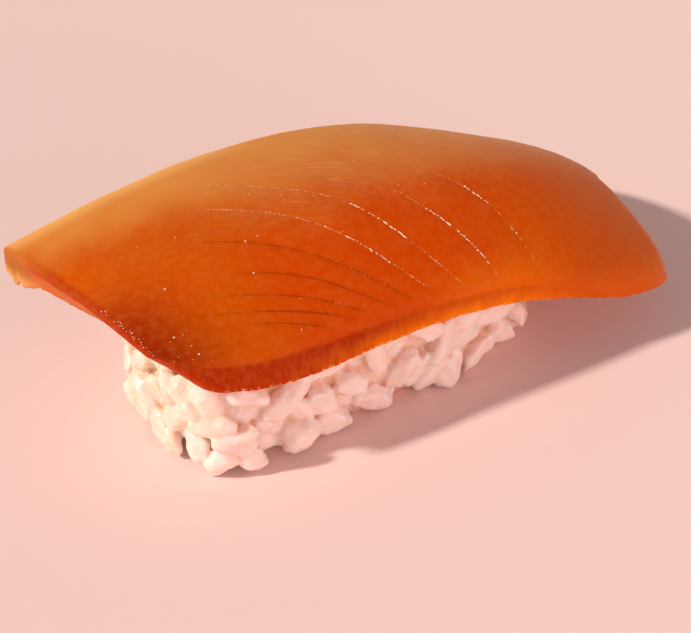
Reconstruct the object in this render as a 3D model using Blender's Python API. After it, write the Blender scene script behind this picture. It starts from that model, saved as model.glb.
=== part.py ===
"""Tuna nigiri: a thick slice of fish draped over a pressed block of rice.

The slice is a loft. Its upper skin runs through five cross-sections, each an arch
between a near edge, a crown and a far edge, and its underside follows at the thickness
of the cut. The rice is a pressed core, shaped to the underside of the slice, with
grains of true size fused to its sides.

Units are metres and +Z is up. While it is modelled, the middle of the rice block stands
on the X axis near the origin. At the end everything is shifted so that the origin lies on
the table under the middle of the whole piece. +X runs along the slice.
"""

import math
import random

import bmesh
import bpy
import numpy as np
from mathutils import Matrix, Vector

MM = 0.001

# Rice block: squarer at its near corners than at its far ones
RICE_LENGTH = 53.0 * MM
RICE_WIDTH = 31.0 * MM
RICE_MIDDLE_X = 0.7 * MM
RICE_NEAR_SQUARENESS = 5.5
RICE_FAR_SQUARENESS = 2.4
RICE_FOOT_ROUNDING = 0.8 * MM
RICE_LEAN = 0.05
RICE_SHOULDER = 1.4 * MM
CORE_AROUND = 36

# Grains of cooked rice
GRAIN_LENGTH = 7.0 * MM
GRAIN_WIDTH = 3.3 * MM
GRAIN_SPACING = 3.3 * MM
GRAIN_TRIES = 4000
GRAIN_SIDES = 6
GRAIN_RINGS = (-0.5, 0.5)
GRAIN_SEED = 11

# Gap between the slice and the rice, and the lowest point of any grain
GAP = 0.3 * MM
GRAIN_FLOOR = 0.15 * MM

# Slice, seen from above: its corners, before the whole is centred
LEFT_NEAR_X = -29.2 * MM
LEFT_FAR_X = -34.0 * MM
RIGHT_NEAR_X = 44.6 * MM
RIGHT_FAR_X = 48.0 * MM
NEAR_Y_LEFT = -13.8 * MM
NEAR_Y_RIGHT = -20.2 * MM
FAR_Y_LEFT = 19.8 * MM
FAR_Y_RIGHT = 13.4 * MM
CROWN_PLACE = 0.49

# How its near side departs from a straight line: cut back at both corners, and sagging
LEFT_CORNER_CUT = 2.7 * MM
LEFT_CORNER_REACH = 0.25
RIGHT_CORNER_CUT = 1.6 * MM
RIGHT_CORNER_REACH = 0.06
NEAR_SIDE_SAG = 1.2 * MM
SAG_START = 0.62

# Slice, seen from the side: heights at five places evenly spaced along it
NEAR_HEIGHTS = (20.3 * MM, 17.2 * MM, 16.7 * MM, 13.3 * MM, 6.6 * MM)
CROWN_HEIGHTS = (20.6 * MM, 25.5 * MM, 25.6 * MM, 22.4 * MM, 11.5 * MM)
FAR_HEIGHTS = (20.2 * MM, 24.5 * MM, 24.0 * MM, 17.6 * MM, 4.0 * MM)

# Thickness of the cut, and how far its left end and its near side are cut on the slant
THICKNESS_CROWN = 4.9 * MM
THICKNESS_NEAR_LEFT = 4.8 * MM
THICKNESS_NEAR_MIDDLE = 4.0 * MM
THICKNESS_FAR = 3.8 * MM
THICKNESS_TIP = 2.2 * MM
LEFT_END_UNDERCUT = 4.4 * MM
NEAR_SIDE_FLARE = 3.2 * MM
END_CUT_FADE = 3
EDGE_ROUNDING = 0.55 * MM

SLICE_CELLS_LONG = 34
SLICE_CELLS_WIDE = 16

SLICE_COLOUR = (0.58, 0.10, 0.008, 1.0)
RICE_COLOUR = (0.86, 0.80, 0.70, 1.0)


def mix(first, second, part):
    return first * (1 - part) + second * part


def curve_through(heights):
    """The smooth curve through evenly spaced heights, as the factors of a polynomial."""
    places = np.linspace(0, 1, len(heights))
    return [float(factor) for factor in np.polyfit(places, heights, len(heights) - 1)]


NEAR_CURVE = curve_through(NEAR_HEIGHTS)
CROWN_CURVE = curve_through(CROWN_HEIGHTS)
FAR_CURVE = curve_through(FAR_HEIGHTS)


def height_on(curve, along):
    height = 0.0
    for factor in curve:
        height = height * along + factor
    return height


def slice_plan(along, across):
    """Where a place on the slice lies, seen from above."""
    near_y = mix(NEAR_Y_LEFT, NEAR_Y_RIGHT, along)
    near_y += LEFT_CORNER_CUT * max(0.0, 1 - along / LEFT_CORNER_REACH) ** 2
    near_y += RIGHT_CORNER_CUT * max(0.0, 1 - (1 - along) / RIGHT_CORNER_REACH) ** 2
    sagging = min(1.0, max(0.0, (along - SAG_START) / (1 - SAG_START)))
    near_y -= NEAR_SIDE_SAG * math.sin(math.pi * sagging) ** 2
    far_y = mix(FAR_Y_LEFT, FAR_Y_RIGHT, along)
    left_x = mix(LEFT_NEAR_X, LEFT_FAR_X, across)
    right_x = mix(RIGHT_NEAR_X, RIGHT_FAR_X, across)
    return mix(left_x, right_x, along), mix(near_y, far_y, across)


def top_height(along, across):
    """The height of the upper skin: an arch that falls from the crown to both edges."""
    crown = height_on(CROWN_CURVE, along)
    if across < CROWN_PLACE:
        fall = crown - height_on(NEAR_CURVE, along)
        return crown - fall * ((CROWN_PLACE - across) / CROWN_PLACE) ** 2
    fall = crown - height_on(FAR_CURVE, along)
    return crown - fall * ((across - CROWN_PLACE) / (1 - CROWN_PLACE)) ** 2


def thickness(along, across):
    """The upright thickness: thickest at the crown, thinner at the edges and the tip."""
    near = mix(THICKNESS_NEAR_LEFT, THICKNESS_NEAR_MIDDLE, min(1.0, 2 * along))
    edge = near if across < CROWN_PLACE else THICKNESS_FAR
    reach = CROWN_PLACE if across < CROWN_PLACE else 1 - CROWN_PLACE
    arch = (abs(across - CROWN_PLACE) / reach) ** 2
    body = mix(THICKNESS_CROWN, edge, arch)
    return mix(body, THICKNESS_TIP, along**5)


def top_point(along, across):
    x, y = slice_plan(along, across)
    return Vector((x, y, top_height(along, across)))


def underside_point(along, across):
    """A place on the underside, moved in or out where the cut runs on the slant."""
    x, y = slice_plan(along, across)
    fade = (1 - along) ** END_CUT_FADE
    x += LEFT_END_UNDERCUT * fade * (1 - max(0.0, across) ** 1.7)
    y -= NEAR_SIDE_FLARE * fade * (1 - across) ** 2
    return Vector((x, y, top_height(along, across) - thickness(along, across)))


def underside_height(x, y):
    """The height of the underside over a place on the table, and whether it covers it."""
    along, across = 0.5, 0.5
    for _ in range(12):
        here = underside_point(along, across)
        ahead = underside_point(along + 0.01, across)
        beside = underside_point(along, across + 0.01)
        along += (x - here.x) / (ahead.x - here.x) * 0.01
        across += (y - here.y) / (beside.y - here.y) * 0.01
        along = min(1.1, max(-0.1, along))
        across = min(1.1, max(-0.1, across))
    covered = -0.03 < along < 1.03 and -0.05 < across < 1.05
    height = underside_point(min(1, max(0, along)), min(1, max(0, across))).z
    return height, covered


def add_object(name, bm, material):
    """Makes an object from a mesh whose faces point outwards."""
    bmesh.ops.recalc_face_normals(bm, faces=bm.faces[:])
    mesh = bpy.data.meshes.new(name)
    bm.to_mesh(mesh)
    bm.free()
    mesh.materials.append(material)
    made = bpy.data.objects.new(name, mesh)
    bpy.context.scene.collection.objects.link(made)
    return made


def plain_material(name, colour, roughness, softness):
    """A moist food surface that lets some light through."""
    material = bpy.data.materials.new(name)
    material.use_nodes = True
    shader = material.node_tree.nodes["Principled BSDF"]
    shader.inputs["Base Color"].default_value = colour
    shader.inputs["Roughness"].default_value = roughness
    shader.inputs["Metallic"].default_value = 0.0
    shader.inputs["Subsurface Weight"].default_value = softness
    shader.inputs["Subsurface Scale"].default_value = 0.003
    return material


def build_slice():
    """The slice: a grid drawn out into a slab, then laid on the two lofted skins."""
    bm = bmesh.new()
    bmesh.ops.create_grid(
        bm, x_segments=SLICE_CELLS_LONG, y_segments=SLICE_CELLS_WIDE, size=0.5
    )
    lower = bm.verts[:]
    drawn = bmesh.ops.extrude_face_region(bm, geom=bm.faces[:], use_keep_orig=True)
    upper = [item for item in drawn["geom"] if isinstance(item, bmesh.types.BMVert)]
    for vert in lower:
        vert.co = underside_point(vert.co.x + 0.5, vert.co.y + 0.5)
    for vert in upper:
        vert.co = top_point(vert.co.x + 0.5, vert.co.y + 0.5)
    material = plain_material("fish flesh", SLICE_COLOUR, 0.35, 0.3)
    slab = add_object("tuna_slice", bm, material)
    slab.data.shade_smooth()
    bevel = slab.modifiers.new("softened cut edges", "BEVEL")
    bevel.width = EDGE_ROUNDING
    bevel.segments = 2
    bevel.limit_method = "ANGLE"
    bevel.angle_limit = math.radians(30)
    return slab


def squareness(turn):
    return RICE_NEAR_SQUARENESS if math.sin(turn) < 0 else RICE_FAR_SQUARENESS


def rice_outline(turn, size):
    """A point on the rounded rectangle of the block, at this share of its full size."""
    c, s = math.cos(turn), math.sin(turn)
    power = squareness(turn)
    reach = size * (abs(c) ** power + abs(s) ** power) ** (-1 / power)
    return RICE_MIDDLE_X + RICE_LENGTH / 2 * c * reach, RICE_WIDTH / 2 * s * reach


def rice_outward(turn):
    """The level direction that points straight out of the side of the block."""
    c, s = math.cos(turn), math.sin(turn)
    power = squareness(turn) - 1
    x = math.copysign(abs(c) ** power, c) / RICE_LENGTH
    y = math.copysign(abs(s) ** power, s) / RICE_WIDTH
    return Vector((x, y, 0)).normalized()


def wall_height(turn):
    """Where the side of the core meets its rounded shoulder."""
    height, _ = underside_height(*rice_outline(turn, 1.0))
    return height - GAP - RICE_SHOULDER


def core_rings():
    """The core's rings, from the middle of its foot up its side to the middle of its top."""
    turns = [2 * math.pi * step / CORE_AROUND for step in range(CORE_AROUND)]
    rings = []
    for size in (0.45, 1 - 2 * RICE_FOOT_ROUNDING / RICE_WIDTH):
        rings.append([Vector((*rice_outline(turn, size), 0)) for turn in turns])
    for part in (0.0, 1.0):
        ring = []
        for turn in turns:
            height = mix(RICE_FOOT_ROUNDING, wall_height(turn), part)
            ring.append(Vector((*rice_outline(turn, 1 - RICE_LEAN * part), height)))
        rings.append(ring)
    for size in (0.9, 0.72, 0.5, 0.26):
        ring = []
        for turn in turns:
            x, y = rice_outline(turn, size)
            height, _ = underside_height(x, y)
            ring.append(Vector((x, y, height - GAP)))
        rings.append(ring)
    return rings


def build_core(material):
    """The pressed core, closed by a fan of faces at its foot and at its top."""
    bm = bmesh.new()
    rings = [[bm.verts.new(point) for point in ring] for ring in core_rings()]
    for below, above in zip(rings, rings[1:]):
        for step in range(CORE_AROUND):
            after = (step + 1) % CORE_AROUND
            bm.faces.new((below[step], below[after], above[after], above[step]))
    top_middle, _ = underside_height(RICE_MIDDLE_X, 0)
    for ring, height in ((rings[0], 0), (rings[-1], top_middle - GAP)):
        middle = bm.verts.new((RICE_MIDDLE_X, 0, height))
        for step in range(CORE_AROUND):
            bm.faces.new((ring[step], ring[(step + 1) % CORE_AROUND], middle))
    return add_object("rice", bm, material)


def grain_points(length, width):
    """The corners of one grain, lying along Z: plump, with blunt ends."""
    points = [Vector((0, 0, -length / 2))]
    for row, place in enumerate(GRAIN_RINGS):
        radius = width / 2 * (1 - abs(place) ** 2.6) ** 0.5
        for side in range(GRAIN_SIDES):
            turn = 2 * math.pi * (side + 0.5 * row) / GRAIN_SIDES
            spot = (radius * math.cos(turn), radius * math.sin(turn), place * length / 2)
            points.append(Vector(spot))
    points.append(Vector((0, 0, length / 2)))
    return points


def build_grain(points, material):
    """One faceted grain."""
    bm = bmesh.new()
    for point in points:
        bm.verts.new(point)
    bmesh.ops.convex_hull(bm, input=bm.verts[:])
    return add_object("grain", bm, material)


def clear_of_slice(points):
    """Whether every corner of a grain stays under the slice, and above the table."""
    for point in points:
        height, covered = underside_height(point.x, point.y)
        if covered and point.z > height - GAP * 1.5:
            return False
    return min(point.z for point in points) > GRAIN_FLOOR


def grain_places(draw):
    """Spots spread evenly over the side of the core, each with its outward direction."""
    spots = []
    for _ in range(GRAIN_TRIES):
        turn = draw.uniform(0, 2 * math.pi)
        top = wall_height(turn) + RICE_SHOULDER
        z = draw.uniform(GRAIN_WIDTH / 3, top)
        spot = Vector((*rice_outline(turn, 1 - RICE_LEAN * z / top), z))
        if all((spot - other).length > GRAIN_SPACING for other, _ in spots):
            spots.append((spot, rice_outward(turn)))
    return spots


def place_grain(draw, spot, outward):
    """Lays one grain against the core, lowering or turning it until it fits."""
    length = GRAIN_LENGTH * draw.uniform(0.82, 1.1)
    width = GRAIN_WIDTH * draw.uniform(0.88, 1.1)
    shape = grain_points(length, width)
    for attempt in range(6):
        sideways = Vector((-outward.y, outward.x, 0))
        tilt = draw.uniform(-math.pi / 2, math.pi / 2)
        lie = sideways * math.cos(tilt) + Vector((0, 0, math.sin(tilt)))
        lie = (lie + outward * draw.uniform(-0.45, 0.45)).normalized()
        turned = lie.to_track_quat("Z", "Y").to_matrix().to_4x4()
        centre = spot + outward * draw.uniform(-0.1, 0.7) * MM
        centre.z = max(centre.z - 0.5 * MM * attempt, width * 0.55)
        points = [Matrix.Translation(centre) @ turned @ point for point in shape]
        if clear_of_slice(points):
            return points
    return None


def keep_outer_shell(rice):
    """Drops loose scraps and fills hollows that fusing has sealed."""
    bm = bmesh.new()
    bm.from_mesh(rice.data)
    waiting = set(bm.verts)
    shells = []
    while waiting:
        edge_of_search = [waiting.pop()]
        shell = set(edge_of_search)
        while edge_of_search:
            for edge in edge_of_search.pop().link_edges:
                for vert in edge.verts:
                    if vert in waiting:
                        waiting.discard(vert)
                        shell.add(vert)
                        edge_of_search.append(vert)
        shells.append(shell)
    biggest = max(shells, key=len)
    bmesh.ops.delete(bm, geom=[v for v in bm.verts if v not in biggest], context="VERTS")
    bm.to_mesh(rice.data)
    bm.free()


def build_rice():
    """The rice: the core with its grains fused on by one union."""
    material = plain_material("cooked rice", RICE_COLOUR, 0.3, 0.5)
    rice = build_core(material)
    draw = random.Random(GRAIN_SEED)
    grains = bpy.data.collections.new("grains")
    for spot, outward in grain_places(draw):
        points = place_grain(draw, spot, outward)
        if points:
            grain = build_grain(points, material)
            bpy.context.scene.collection.objects.unlink(grain)
            grains.objects.link(grain)
    print("grains fused to the core:", len(grains.objects))
    union = rice.modifiers.new("fuse grains", "BOOLEAN")
    union.operation = "UNION"
    union.operand_type = "COLLECTION"
    union.collection = grains
    union.solver = "EXACT"
    fused = bpy.data.meshes.new_from_object(
        rice.evaluated_get(bpy.context.evaluated_depsgraph_get())
    )
    rice.modifiers.clear()
    rice.data = fused
    for grain in list(grains.objects):
        bpy.data.objects.remove(grain)
    bpy.data.collections.remove(grains)
    keep_outer_shell(rice)
    return rice


def centre_on_origin(pieces):
    """Shifts the finished piece so that the origin lies under its middle."""
    depsgraph = bpy.context.evaluated_depsgraph_get()
    corners = []
    for piece in pieces:
        shape = piece.evaluated_get(depsgraph).to_mesh()
        corners.extend(vert.co.copy() for vert in shape.vertices)
    middle_x = (min(c.x for c in corners) + max(c.x for c in corners)) / 2
    middle_y = (min(c.y for c in corners) + max(c.y for c in corners)) / 2
    for piece in pieces:
        piece.data.transform(Matrix.Translation((-middle_x, -middle_y, 0)))
    print("shifted by", -middle_x, -middle_y)


def main():
    for old in list(bpy.data.objects):
        bpy.data.objects.remove(old)
    centre_on_origin([build_slice(), build_rice()])


main()
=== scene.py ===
"""The looks of a tuna nigiri: a moist slice of fish draped over pressed sticky rice.

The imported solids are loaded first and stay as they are. The slice and the rice are then
modelled again in full detail in the same places, and stand for their solids. Lengths are
in metres, +Z is up and +X runs along the slice towards its low end.
"""

import math
import random

import bpy
import numpy as np
from bpy.props import FloatProperty, FloatVectorProperty, IntProperty, PointerProperty
from mathutils import Matrix, Vector, noise
from mathutils.bvhtree import BVHTree
from mathutils.kdtree import KDTree


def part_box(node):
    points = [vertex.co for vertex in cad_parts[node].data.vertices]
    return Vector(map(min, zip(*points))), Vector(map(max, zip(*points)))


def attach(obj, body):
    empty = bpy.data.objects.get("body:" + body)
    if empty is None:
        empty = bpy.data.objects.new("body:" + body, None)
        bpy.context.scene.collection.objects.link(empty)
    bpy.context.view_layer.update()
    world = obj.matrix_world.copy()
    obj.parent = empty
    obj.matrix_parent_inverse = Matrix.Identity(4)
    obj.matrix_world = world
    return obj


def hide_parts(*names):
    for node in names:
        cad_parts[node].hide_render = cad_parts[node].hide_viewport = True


bl_info = {
    "name": "Tuna nigiri",
    "version": (1, 0, 0),
    "blender": (4, 5, 0),
    "location": "3D View > Sidebar > Nigiri",
    "description": "Models and finishes a piece of tuna nigiri",
    "category": "Add Mesh",
}

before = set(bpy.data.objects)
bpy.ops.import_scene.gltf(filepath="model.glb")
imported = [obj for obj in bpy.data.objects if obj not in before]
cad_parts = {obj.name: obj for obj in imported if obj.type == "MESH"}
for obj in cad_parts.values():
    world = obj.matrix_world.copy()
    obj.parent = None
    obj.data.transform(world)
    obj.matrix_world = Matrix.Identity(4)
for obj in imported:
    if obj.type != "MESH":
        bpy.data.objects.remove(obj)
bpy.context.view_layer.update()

MM = 0.001
BODY = "root"

# Slice, seen from above: its corners, before the whole is centred
LEFT_NEAR_X = -29.2 * MM
LEFT_FAR_X = -34.0 * MM
RIGHT_NEAR_X = 44.6 * MM
RIGHT_FAR_X = 48.0 * MM
NEAR_Y_LEFT = -13.8 * MM
NEAR_Y_RIGHT = -20.2 * MM
FAR_Y_LEFT = 19.8 * MM
FAR_Y_RIGHT = 13.4 * MM
CROWN_PLACE = 0.49
SLICE_LENGTH = RIGHT_NEAR_X - LEFT_NEAR_X
SLICE_WIDTH = FAR_Y_LEFT - NEAR_Y_LEFT

# How its near side departs from a straight line
LEFT_CORNER_CUT = 2.7 * MM
LEFT_CORNER_REACH = 0.25
RIGHT_CORNER_CUT = 1.6 * MM
RIGHT_CORNER_REACH = 0.06
NEAR_SIDE_SAG = 1.2 * MM
SAG_START = 0.62

# Slice, seen from the side: heights at five places evenly spaced along it
NEAR_HEIGHTS = (20.3 * MM, 17.2 * MM, 16.7 * MM, 13.3 * MM, 6.6 * MM)
CROWN_HEIGHTS = (20.6 * MM, 25.5 * MM, 25.6 * MM, 22.4 * MM, 11.5 * MM)
FAR_HEIGHTS = (20.2 * MM, 24.5 * MM, 24.0 * MM, 17.6 * MM, 4.0 * MM)

# Thickness of the cut, and how far its left end and its near side are cut on the slant
THICKNESS_CROWN = 4.9 * MM
THICKNESS_NEAR_LEFT = 4.8 * MM
THICKNESS_NEAR_MIDDLE = 4.0 * MM
THICKNESS_FAR = 3.8 * MM
THICKNESS_TIP = 2.2 * MM
TIP_THINNING = 5
LEFT_END_UNDERCUT = 4.4 * MM
UNDERCUT_FADE = 1.7
NEAR_SIDE_FLARE = 3.2 * MM
END_CUT_FADE = 3

# Finer shape of the finished slice. The near left corner reaches further out, and the far
# left corner and the far side stand a little higher. ALONG and ACROSS say where each of
# these acts, as shares: a start and an end, or a middle and a reach for a single swell.
CORNER_REACH_OUT = 1.3 * MM
CORNER_REACH_ACROSS = 0.5
CORNER_REACH_FADE = 8
FAR_LEFT_LIFT = 0.7 * MM
FAR_LEFT_LIFT_FADE = 12
FAR_SIDE_LIFT = 0.5 * MM
FAR_SIDE_LIFT_ALONG = (0.66, 0.36)
FAR_LIFT_ACROSS = (0.5, 1)

# At the low end, the far part stands higher, the near part reaches further, the underside
# hangs lower at the near side, and the upper edge is rounder
LOW_END_LIFT = 0.62 * MM
LOW_END_LIFT_ALONG = (0.96, 0.14)
LOW_END_LIFT_ACROSS = (0.2, 0.5)
LOW_END_REACH = 1.1 * MM
LOW_END_REACH_ALONG = (0.88, 1)
LOW_END_REACH_ACROSS = (0.13, 0.36)
LOW_END_BELLY = 0.8 * MM
LOW_END_BELLY_ALONG = (0.9, 0.13)
LOW_END_BELLY_ACROSS = (0.4, 0.05)
LOW_END_ROUNDING = 1.3 * MM
LOW_END_ROUNDING_ALONG = (0.7, 0.9)

# The cut sides of the slice: rows of faces down them, how these rows crowd at the edges,
# where down them their colour starts and is full, and how far onto the slice they reach
CUT_ROWS = 12
CUT_CROWDING = (1.5, 0.5)
CUT_FACE_DEPTH = (0.02, 0.12)
NEAR_CUT_REACH = 0.02
LEFT_CUT_REACH = 0.012

# Radius of the three sharper corners and of the lower edge, and how far from the middle of
# the flat slab, one unit wide, its sides begin
SHARP_CORNER = 0.6 * MM
LOWER_ROUNDING = 0.35 * MM
SIDE_OF_SLAB = 0.4999

# The lower edge: frayed along both cuts, torn at the far part of the left end, with a flap
# that hangs down there. Sizes without a unit are shares of the slice.
FRAY_SIZE = 0.012
NEAR_FRAY = 0.22 * MM
LEFT_FRAY = 0.18 * MM
TORN_ACROSS = (0.76, 0.93)
TEAR_SIZE = 0.02
TEAR_DEPTH = 1.5 * MM
FLAP_ALONG = 0.04
FLAP_ACROSS = (0.91, 0.09)
FLAP_HANG = 0.7 * MM
FLAP_TEAR_SIZE = 0.008
FLAP_TEAR_DEPTH = 1.2 * MM

# Waves of a surface: their length, their height and the seed of their noise. The skin
# sinks a little, so that its waves stay inside the solid's box.
SKIN_WAVES = ((9 * MM, 0.16 * MM, 1), (2.2 * MM, 0.04 * MM, 2))
CUT_WAVES = ((1.6 * MM, 0.10 * MM, 6), (5 * MM, 0.18 * MM, 7))
GRAIN_WAVES = ((1.5 * MM, 0.16 * MM, 32),)
GRAIN_CRINKLES = ((0.7 * MM, 0.2 * MM, 33),)
SKIN_SINK = 0.12 * MM

# Where the layers of muscle meet on the top of the slice. Each seam is given by places
# (across, along) from its far end to where it reaches the near edge of the slice.
LIGHT_SEAMS = {
    "first": ((0.431, 0.624), (0.291, 0.668), (0.138, 0.697), (0.0, 0.71)),
    "second": ((0.388, 0.534), (0.243, 0.572), (0.095, 0.611), (0.0, 0.626)),
    "third": ((0.794, 0.283), (0.61, 0.375), (0.378, 0.449), (0.0, 0.56)),
    "fourth": ((0.654, 0.245), (0.476, 0.325), (0.228, 0.413), (0.0, 0.503)),
}
DARK_SEAMS = {
    "fifth": ((0.484, 0.19), (0.341, 0.278), (0.193, 0.356), (0.0, 0.462)),
    "sixth": ((0.271, 0.215), (0.17, 0.306), (0.075, 0.369), (0.0, 0.425)),
    "seventh": ((0.211, 0.176), (0.153, 0.246), (0.053, 0.34), (0.0, 0.383)),
    "eighth": ((0.163, 0.144), (0.108, 0.23), (0.035, 0.32), (0.0, 0.352)),
    "ninth": ((0.108, 0.159), (0.083, 0.206), (0.05, 0.253), (0.0, 0.315)),
}
SEAM_FADE = 0.05
SEAM_NEAR_FADE = (0.005, 0.05)
SEAM_WIDTH = 0.35 * MM
SWELL_REACH = 2.0 * MM

# Wet stretches of the seams: from across, to across, share of drops kept and their size
WET_STRETCHES = {
    "first": ((0.42, 0.35, 0.4, 0.6), (0.34, 0.26, 0.85, 1.1), (0.23, 0.1, 0.45, 0.9)),
    "second": ((0.4, 0.29, 0.4, 0.6), (0.28, 0.06, 0.9, 1.25), (0.05, 0.0, 0.3, 0.6)),
    "third": ((0.78, 0.44, 0.7, 0.7), (0.4, 0.2, 0.85, 1.15), (0.2, 0.05, 0.4, 0.6)),
    "fourth": ((0.63, 0.3, 0.5, 0.8), (0.26, 0.13, 0.8, 1.0), (0.12, 0.03, 0.4, 0.6)),
    "fifth": ((0.2, 0.07, 0.3, 0.5),),
}
SEAM_STEP = 0.01
SEAM_SCATTER = 0.0008
SEAM_DROP_SIZES = (0.6, 1.2)
SEAM_DROP_GAPS = (0.6, 1.5)

# Drops that run together are longer. Those over this size take one of the large lengths,
# and the others any length within a range. Each drop's place is found from above.
LARGE_DROP = 0.9
LARGE_DROP_LENGTHS = (1.0, 1.2, 1.6, 2.6)
SMALL_DROP_LENGTHS = (0.9, 1.5)
DROP_HEIGHT = 0.65
RAY_START = 5 * MM

# Loose drops lie along the left edge, at the near corner or anywhere. Each kind has its
# share of them, counted on from the one before, and its ranges along and across.
LEFT_EDGE_SHARE = 0.4
LEFT_EDGE_ACROSS = (0.02, 0.44)
LEFT_EDGE_ALONG = 0.004
LEFT_EDGE_SCATTER = 0.005
CORNER_SHARE = 0.52
CORNER_ACROSS = (0.01, 0.14)
CORNER_ALONG = (0.01, 0.1)
OPEN_ACROSS = (0.03, 0.85)
OPEN_ALONG = (0.03, 0.6)
LOOSE_DROP_SIZES = (0.3, 0.85)
LOOSE_DROP_LENGTH = 1.1

# Single larger drops, as along and across
BIG_DROPS = ((0.097, 0.343), (0.252, 0.391), (0.226, 0.261), (0.054, 0.128), (0.069, 0.038))
BIG_DROP_SIZE = 1.35

# Rice block: squarer at its near corners than at its far ones, leaning in towards its top
# and tucked in at its foot
RICE_LENGTH = 53.0 * MM
RICE_WIDTH = 31.0 * MM
RICE_MIDDLE_X = 0.7 * MM
RICE_NEAR_SQUARENESS = 5.5
RICE_FAR_SQUARENESS = 2.4
RICE_LEAN = 0.05
FOOT_TUCK = 0.02
FOOT_HEIGHT = 7.0 * MM
RICE_FACES = 190000

# Its pressed core: how far it lies inside the block, how much longer it is drawn out, how
# it is tucked in at its foot, and how its last rows close over its top
CORE_INSET = 1.6 * MM
CORE_STRETCH = 1.085
CORE_TUCK = 0.1
CORE_TUCK_RISE = 4
CORE_AROUND = 72
CORE_ROWS = 8
CORE_TOP_ROWS = 3
CORE_CLOSING = 0.85
CORE_SHOULDER = 1.2 * MM
CORE_BELOW_SLICE = 0.3 * MM

# A few different grains are modelled at unit size: a ball pressed flat against planes,
# with blunt ends, a taper, a bend and lumps, which are given as waves are
MODEL_GRAINS = 10
PRESSES = 5
PRESS_REACH = (0.72, 0.9)
PRESS_SHARE = 0.75
BLUNTNESS = (2.4, 3.4)
TAPER = (-0.1, 0.22)
BEND = (-0.25, 0.25)
BROAD_LUMPS = (0.9, 0.22, 20)
SMALL_LUMPS = (0.4, 0.1, 50)
POLE = 0.999

# Grains of the random draw: how many are tried, their sizes and slants, how far they stand
# proud of the block, more so at its ends, and how far behind lies the second layer
CROWD_TRIES = 3500
CROWD_OUTLINE = 0.97
LOWEST_GRAIN = 1.0 * MM
GRAIN_THICKNESS = 0.72
FRONT_THICKNESS = 0.8
GRAIN_SIZES = (0.84, 1.14)
GRAIN_SLANT = (0.2, 0.7)
GRAIN_LEAN = 0.2
GRAIN_SPIN = 0.4
PROUD_BY = (-0.25, 0.8)
END_PROUD = 1.1 * MM
BEHIND = 1.6 * MM
BEHIND_SPACING = 0.8

# Grains that stand out at the front: middle (x, y, z), slant in degrees, then length,
# width and how far each one stands proud, in millimetres
FRONT_GRAINS = {
    "broad": ((-31.3, -10.5, 10.6), -62, 6.6, 5.6, 0.8),
    "low left": ((-32.2, -9.0, 4.0), -50, 6.6, 5.0, 0.5),
    "tooth": ((-28.6, -13.5, 5.6), 2, 6.2, 4.2, 1.7),
    "left root": ((-30.2, -12.5, 2.0), 50, 5.0, 3.4, 1.3),
    "right root": ((-26.7, -14.2, 1.9), -52, 5.2, 3.4, 1.2),
    "under the slice": ((-26.6, -14.1, 11.2), -22, 5.6, 3.2, 0.2),
    "long": ((-21.0, -14.8, 9.2), 34, 8.0, 3.8, 0.7),
    "by the gap": ((-23.8, -14.5, 6.2), -20, 4.2, 2.6, -0.3),
    "rough": ((-19.6, -14.8, 2.7), 10, 5.8, 4.4, 1.1),
    "behind rough": ((-15.6, -14.9, 6.2), -40, 6.0, 4.0, 0.6),
    "left middle": ((-32.8, 0.6, 6.2), -55, 6.4, 4.6, 0.9),
}

# Places (x, y, z) between grains that stay open, in millimetres, and how wide they are
FRONT_HOLLOWS = ((-27.6, -13.8, 8.2), (-24.4, -14.4, 3.0), (-21.6, -14.7, 6.0), (-10.5, -14.9, 9.0))
HOLLOW_REACH = 1.3 * MM

# Skin of the rice: in which patches it crinkles, how far below the slice it stays, how
# widely its gaps are looked for, and its tints. These drift rosier between two places along
# it, towards the right end, as a painted rosy bounce light.
CRINKLED_PATCH = 4.5 * MM
CRINKLED_LIMITS = (-0.2, 0.35)
CRINKLED_DRAW = 31
PRESS_GAP = 0.03 * MM
GAP_ROUNDS = 14
GAP_UNIT = 0.1 * MM
TINT_CHANCE = 0.4
BOUNCE_DRIFT = 0.7
BOUNCE_X = (-27 * MM, -17 * MM)
TINT_ROUNDS = 3

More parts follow.
